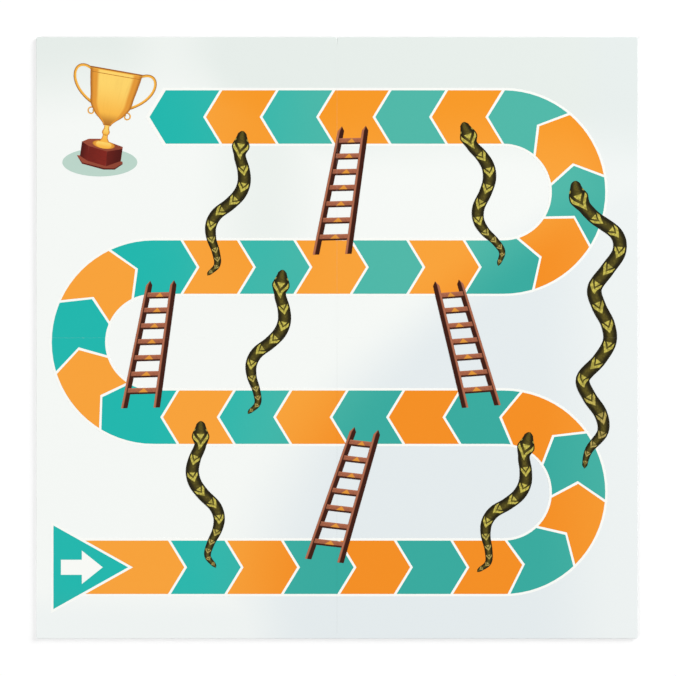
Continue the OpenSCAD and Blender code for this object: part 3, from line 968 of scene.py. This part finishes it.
class BOARD_OT_cup(bpy.types.Operator):
    """Prints the winner's cup and the base that it stands on"""

    bl_idname = "board.cup"
    bl_label = "Cup"

    FILM = 0.000004
    BED = 1.35
    LAYER = 0.000005
    PLACE = 0.49
    HANDLE = ((0.27, 0.95), (0.53, 1.1), (0.61, 0.76), (0.17, 0.605))
    BOWL = (0.045, 0.093, 0.158, 0.2, 0.235, 0.25, 0.257, 0.267, 0.278, 0.288, 0.298, 0.306, 0.312)
    STEM = (0.066, 0.046, 0.034, 0.031, 0.033, 0.036, 0.033, 0.029, 0.04)
    FOOT = 0.137
    KNOB = 0.045
    FOOT_SPAN = (0.184, 0.264)
    STEM_SPAN = (0.25, 0.43)
    BOWL_SPAN = (0.425, 0.985)
    KNOB_SPAN = (0.316, 0.39)
    RIMS = ((0.977, 0.312, 0.011), (0.934, 0.297, 0.004), (0.425, 0.046, 0.007))
    SCROLL = (0.214, 0.541)
    SCROLL_SIZE = 1.5
    SCROLL_START = 60
    SCROLL_TURN = 350
    SCROLL_DRAW = 0.5
    SCROLL_WIDTH = 0.25
    UPRIGHT_GRID = (28, 8)
    HANDLE_GRID = (28, 4)
    SCROLL_GRID = (36, 4)
    RIM_GRID = (16, 4)
    PLAIN_GOLD, RIM_GOLD, HANDLE_GOLD, BOWL_GOLD = range(4)
    FRONT_WOOD, SIDE_WOOD, EDGE_WOOD, LEFT_WOOD = range(4)
    UNDERSIDE = (
        (-0.29, 0.068), (-0.215, -0.005), (0.052, -0.026), (0.18, -0.007), (0.264, 0.062), (0.254, 0.087),
    )
    MOULDING = (
        (-0.288, 0.072), (-0.282, 0.062), (-0.213, 0.009), (0.054, -0.011), (0.176, 0.005),
        (0.258, 0.068), (0.254, 0.087), (-0.254, 0.075),
    )
    LEFT_SIDE = ((-0.26, 0.217), (-0.254, 0.07), (-0.157, 0.034), (-0.172, 0.184))
    FRONT = ((-0.172, 0.184), (-0.157, 0.034), (0.072, 0.012), (0.052, 0.161))
    RIGHT_SIDE = ((0.052, 0.161), (0.072, 0.012), (0.235, 0.09), (0.229, 0.213))
    TOP = (
        (-0.26, 0.217), (-0.172, 0.184), (0.052, 0.161), (0.229, 0.213), (0.229, 0.234),
        (-0.054, 0.276), (-0.187, 0.256),
    )

    def execute(self, context):
        inks = context.scene.board_colours
        self.sizes = context.scene.board_figures
        track = Track(context.scene.board_track)
        left = -HALF + track.sizes.left
        last_tip = track.place(track.tips[-1])
        middle_x = left + self.PLACE * (last_tip.x - left)
        self.foot = Vector((middle_x, last_tip.y - self.sizes.cup_height / 2, 0))
        self.lean = Matrix.Rotation(-self.sizes.cup_lean, 3, "Z")
        self.base(inks)
        self.bowl(inks)
        return {"FINISHED"}

    def spot(self, x, y):
        """A place on the leaning cup, in shares of its width and height."""
        return self.foot + self.lean @ Vector((x * self.sizes.cup_width, y * self.sizes.cup_height, 0))

    def upright(self, bm, span, half_width, layer, material):
        """A strip up the middle of the cup."""
        bottom, top = span
        lay_strip(
            bm, lambda s: self.spot(0, bottom + (top - bottom) * s),
            lambda s: half_width(s) * self.sizes.cup_width,
            self.UPRIGHT_GRID, self.level(layer), material=material,
        )

    def scroll(self, side, s):
        """The curl under a handle, drawn in towards its own middle."""
        turn = math.radians(self.SCROLL_START + self.SCROLL_TURN * s)
        reach = self.SCROLL_SIZE * self.sizes.handle * (1 - self.SCROLL_DRAW * s)
        x = self.SCROLL[0] - reach * math.cos(turn) / self.sizes.cup_width
        return self.spot(side * x, self.SCROLL[1] + reach * math.sin(turn) / self.sizes.cup_height)

    def facet(self, bm, corners, layer, material):
        """One flat side of the base, with a pattern that fills its own box."""
        pattern = strip_pattern(bm)
        low = [min(corner[axis] for corner in corners) for axis in (0, 1)]
        high = [max(corner[axis] for corner in corners) for axis in (0, 1)]
        verts = [bm.verts.new(self.spot(*corner)) for corner in corners]
        face = bm.faces.new(verts)
        face.material_index = material
        for loop, corner in zip(face.loops, corners):
            loop.vert.co.z = self.level(layer)
            loop[pattern].uv = [(corner[i] - low[i]) / (high[i] - low[i]) for i in (0, 1)]

    def level(self, layer):
        return FACE_TOP + self.BED * INK + layer * self.LAYER

    def finish(self, name, bm, finishes, ink, node):
        bmesh.ops.remove_doubles(bm, verts=bm.verts, dist=MERGE)
        thicken(new_piece(name, bm, finishes, "top_left", (node,)), self.FILM)

    def base(self, inks):
        bm = bmesh.new()
        self.facet(bm, self.UNDERSIDE, 0, self.SIDE_WOOD)
        self.facet(bm, self.MOULDING, 1, self.EDGE_WOOD)
        self.facet(bm, self.LEFT_SIDE, 2, self.LEFT_WOOD)
        self.facet(bm, self.FRONT, 2, self.FRONT_WOOD)
        self.facet(bm, self.RIGHT_SIDE, 2, self.SIDE_WOOD)
        self.facet(bm, self.TOP, 2, self.EDGE_WOOD)
        finishes = [
            plinth_print("Plinth Front", tone(inks.plinth, 0.9), tone(inks.plinth, 1.2)),
            plinth_print("Plinth Side", tone(inks.plinth, 0.7), tone(inks.plinth_dark)),
            plinth_print("Plinth Edge", tone(inks.plinth_light), tone(inks.plinth_light, 0.8)),
            plinth_print("Plinth Left", tone(inks.plinth_dark), tone(inks.plinth, 0.9)),
        ]
        self.finish("cup_base_print", bm, finishes, "maroon_ink", "cup_base")

    def bowl(self, inks):
        bm = bmesh.new()
        for side in (-1, 1):
            bends = [self.spot(side * x, y) for x, y in self.HANDLE]
            lay_strip(
                bm, lambda s: bezier(bends, s), lambda s: self.sizes.handle / 2,
                self.HANDLE_GRID, self.level(3), material=self.HANDLE_GOLD, flip=side < 0,
            )
            lay_strip(
                bm, lambda s: self.scroll(side, s), lambda s: self.SCROLL_WIDTH * self.sizes.handle,
                self.SCROLL_GRID, self.level(2), material=self.HANDLE_GOLD, flip=side > 0,
            )
        self.upright(bm, self.FOOT_SPAN, lambda s: self.FOOT * round_share(s), 4, self.PLAIN_GOLD)
        self.upright(bm, self.STEM_SPAN, lambda s: smooth_row(self.STEM, s), 5, self.PLAIN_GOLD)
        self.upright(bm, self.BOWL_SPAN, lambda s: smooth_row(self.BOWL, s), 6, self.BOWL_GOLD)
        self.upright(bm, self.KNOB_SPAN, lambda s: self.KNOB * round_share(s), 6, self.BOWL_GOLD)
        for height, reach, thick in self.RIMS:
            lay_strip(
                bm, lambda s: self.spot(reach * (2 * s - 1), height), lambda s: thick * self.sizes.cup_height,
                self.RIM_GRID, self.level(7), material=self.RIM_GOLD,
            )
        finishes = [
            gold_print("Cup Gold", inks),
            rim_print("Cup Rim", inks, dark=0.4),
            rim_print("Cup Handle", inks, dark=0.05),
            gold_print("Cup Bowl", inks, underside=0.8),
        ]
        self.finish("cup_bowl_print", bm, finishes, "gold_ink", "cup_bowl")


class BOARD_OT_stage(bpy.types.Operator):
    """Sets the floor, the lamps and the camera"""

    bl_idname = "board.stage"
    bl_label = "Stage"

    RIGHT_LAMP = (3.9, 2.9, 2.4)
    LEFT_LAMP = (-3.7, -2.03, 3.7)
    LAMP_SIZE = 3.2
    FLOOR_REACH = 20
    FLOOR_DROP = 0.0003
    FLOOR_TINTS = (0.93, 0.93, 0.93, 1), (0.95, 0.95, 0.95, 1)
    FLOOR_WHITE = 1.15
    SKY_TINT = (1, 1, 1, 1)
    PICTURE = 676
    SENSOR = 36
    CAMERA_STEP = (1, -0.2)

    def execute(self, context):
        stage = context.scene.board_stage
        context.scene.view_settings.view_transform = "Standard"
        self.floor(stage)
        self.sky(context.scene, stage)
        self.lamp("Right Lamp", self.RIGHT_LAMP, stage.right_lamp)
        self.lamp("Left Lamp", self.LEFT_LAMP, stage.left_lamp)
        self.camera(context.scene, stage)
        return {"FINISHED"}

    def floor(self, stage):
        bm = bmesh.new()
        bmesh.ops.create_grid(bm, x_segments=4, y_segments=4, size=self.FLOOR_REACH)
        bmesh.ops.translate(bm, vec=(0, 0, -self.FLOOR_DROP), verts=bm.verts)
        paint = Paint.named("Floor")
        fine = paint.noise(paint.place(), 40, 2)
        tint = paint.mix(fine, *self.FLOOR_TINTS)
        matt = paint.node("ShaderNodeBsdfDiffuse", None, {"Color": tint})
        glow = paint.node("ShaderNodeEmission", None, {"Strength": self.FLOOR_WHITE})
        rays = paint.node("ShaderNodeLightPath")
        seen = rays.at("Is Camera Ray").most(rays.at("Is Glossy Ray")).most(rays.at("Is Transmission Ray"))
        white = paint.node("ShaderNodeMixShader", None, {0: seen * stage.floor_glow, 1: matt, 2: glow})
        paint.node("ShaderNodeOutputMaterial", None, {"Surface": white})
        floor = add_mesh("Floor", bm, [paint.owner])

    def sky(self, scene, stage):
        scene.world = bpy.data.worlds.new("Sky")
        paint = Paint(scene.world)
        rays = paint.node("ShaderNodeLightPath")
        soft = paint.node("ShaderNodeBackground", None, {"Color": self.SKY_TINT, "Strength": stage.sky})
        white = paint.node("ShaderNodeBackground", None, {"Color": self.SKY_TINT, "Strength": 1.0})
        seen = rays.at("Is Camera Ray").most(rays.at("Is Transmission Ray"))
        both = paint.node("ShaderNodeMixShader", None, {0: seen, 1: soft, 2: white})
        paint.node("ShaderNodeOutputWorld", None, {"Surface": both})

    def lamp(self, name, place, watts):
        light = bpy.data.lights.new(name, "AREA")
        light.size = self.LAMP_SIZE
        light.energy = watts
        lamp = bpy.data.objects.new(name, light)
        lamp.location = place
        lamp.rotation_euler = (-Vector(place)).to_track_quat("-Z", "Y").to_euler()
        lamp.visible_camera = False
        bpy.context.scene.collection.objects.link(lamp)

    def camera(self, scene, stage):
        pixel = stage.view_width / self.PICTURE
        step_x, step_y = self.CAMERA_STEP
        view = bpy.data.cameras.new("Camera")
        view.sensor_width = self.SENSOR
        view.lens = self.SENSOR * (stage.camera_height - FACE_TOP) / stage.view_width
        camera = bpy.data.objects.new("Camera", view)
        camera.location = (step_x * pixel, step_y * pixel, stage.camera_height)
        scene.collection.objects.link(camera)
        scene.camera = camera


GROUPS = {
    "board_track": BoardTrackSizes,
    "board_figures": BoardFigureSizes,
    "board_colours": BoardColours,
    "board_stage": BoardStage,
}
OPERATORS = (
    BOARD_OT_face_sheets,
    BOARD_OT_boards_and_linings,
    BOARD_OT_creases,
    BOARD_OT_track_print,
    BOARD_OT_ladders,
    BOARD_OT_snakes,
    BOARD_OT_cup,
    BOARD_OT_stage,
)


class BOARD_PT_game_board(bpy.types.Panel):
    """Lists the board's pieces and what a user would change on them"""

    bl_idname = "BOARD_PT_game_board"
    bl_label = "Game Board"
    bl_space_type = "VIEW_3D"
    bl_region_type = "UI"
    bl_category = "Game Board"

    def draw(self, context):
        for operator in OPERATORS:
            self.layout.operator(operator.bl_idname)
        for name, group in GROUPS.items():
            box = self.layout.box()
            for prop in group.__annotations__:
                box.prop(getattr(context.scene, name), prop)


CLASSES = tuple(GROUPS.values()) + OPERATORS + (BOARD_PT_game_board,)


def register():
    for cls in CLASSES:
        bpy.utils.register_class(cls)
    for name, group in GROUPS.items():
        setattr(bpy.types.Scene, name, bpy.props.PointerProperty(type=group))


def unregister():
    for name in GROUPS:
        delattr(bpy.types.Scene, name)
    for cls in reversed(CLASSES):
        bpy.utils.unregister_class(cls)


def main():
    register()
    bpy.ops.board.face_sheets()
    bpy.ops.board.boards_and_linings()
    bpy.ops.board.creases()
    bpy.ops.board.track_print()
    bpy.ops.board.ladders()
    bpy.ops.board.snakes()
    bpy.ops.board.cup()
    bpy.ops.board.stage()
    bpy.context.view_layer.update()


if __name__ == "__main__":
    main()
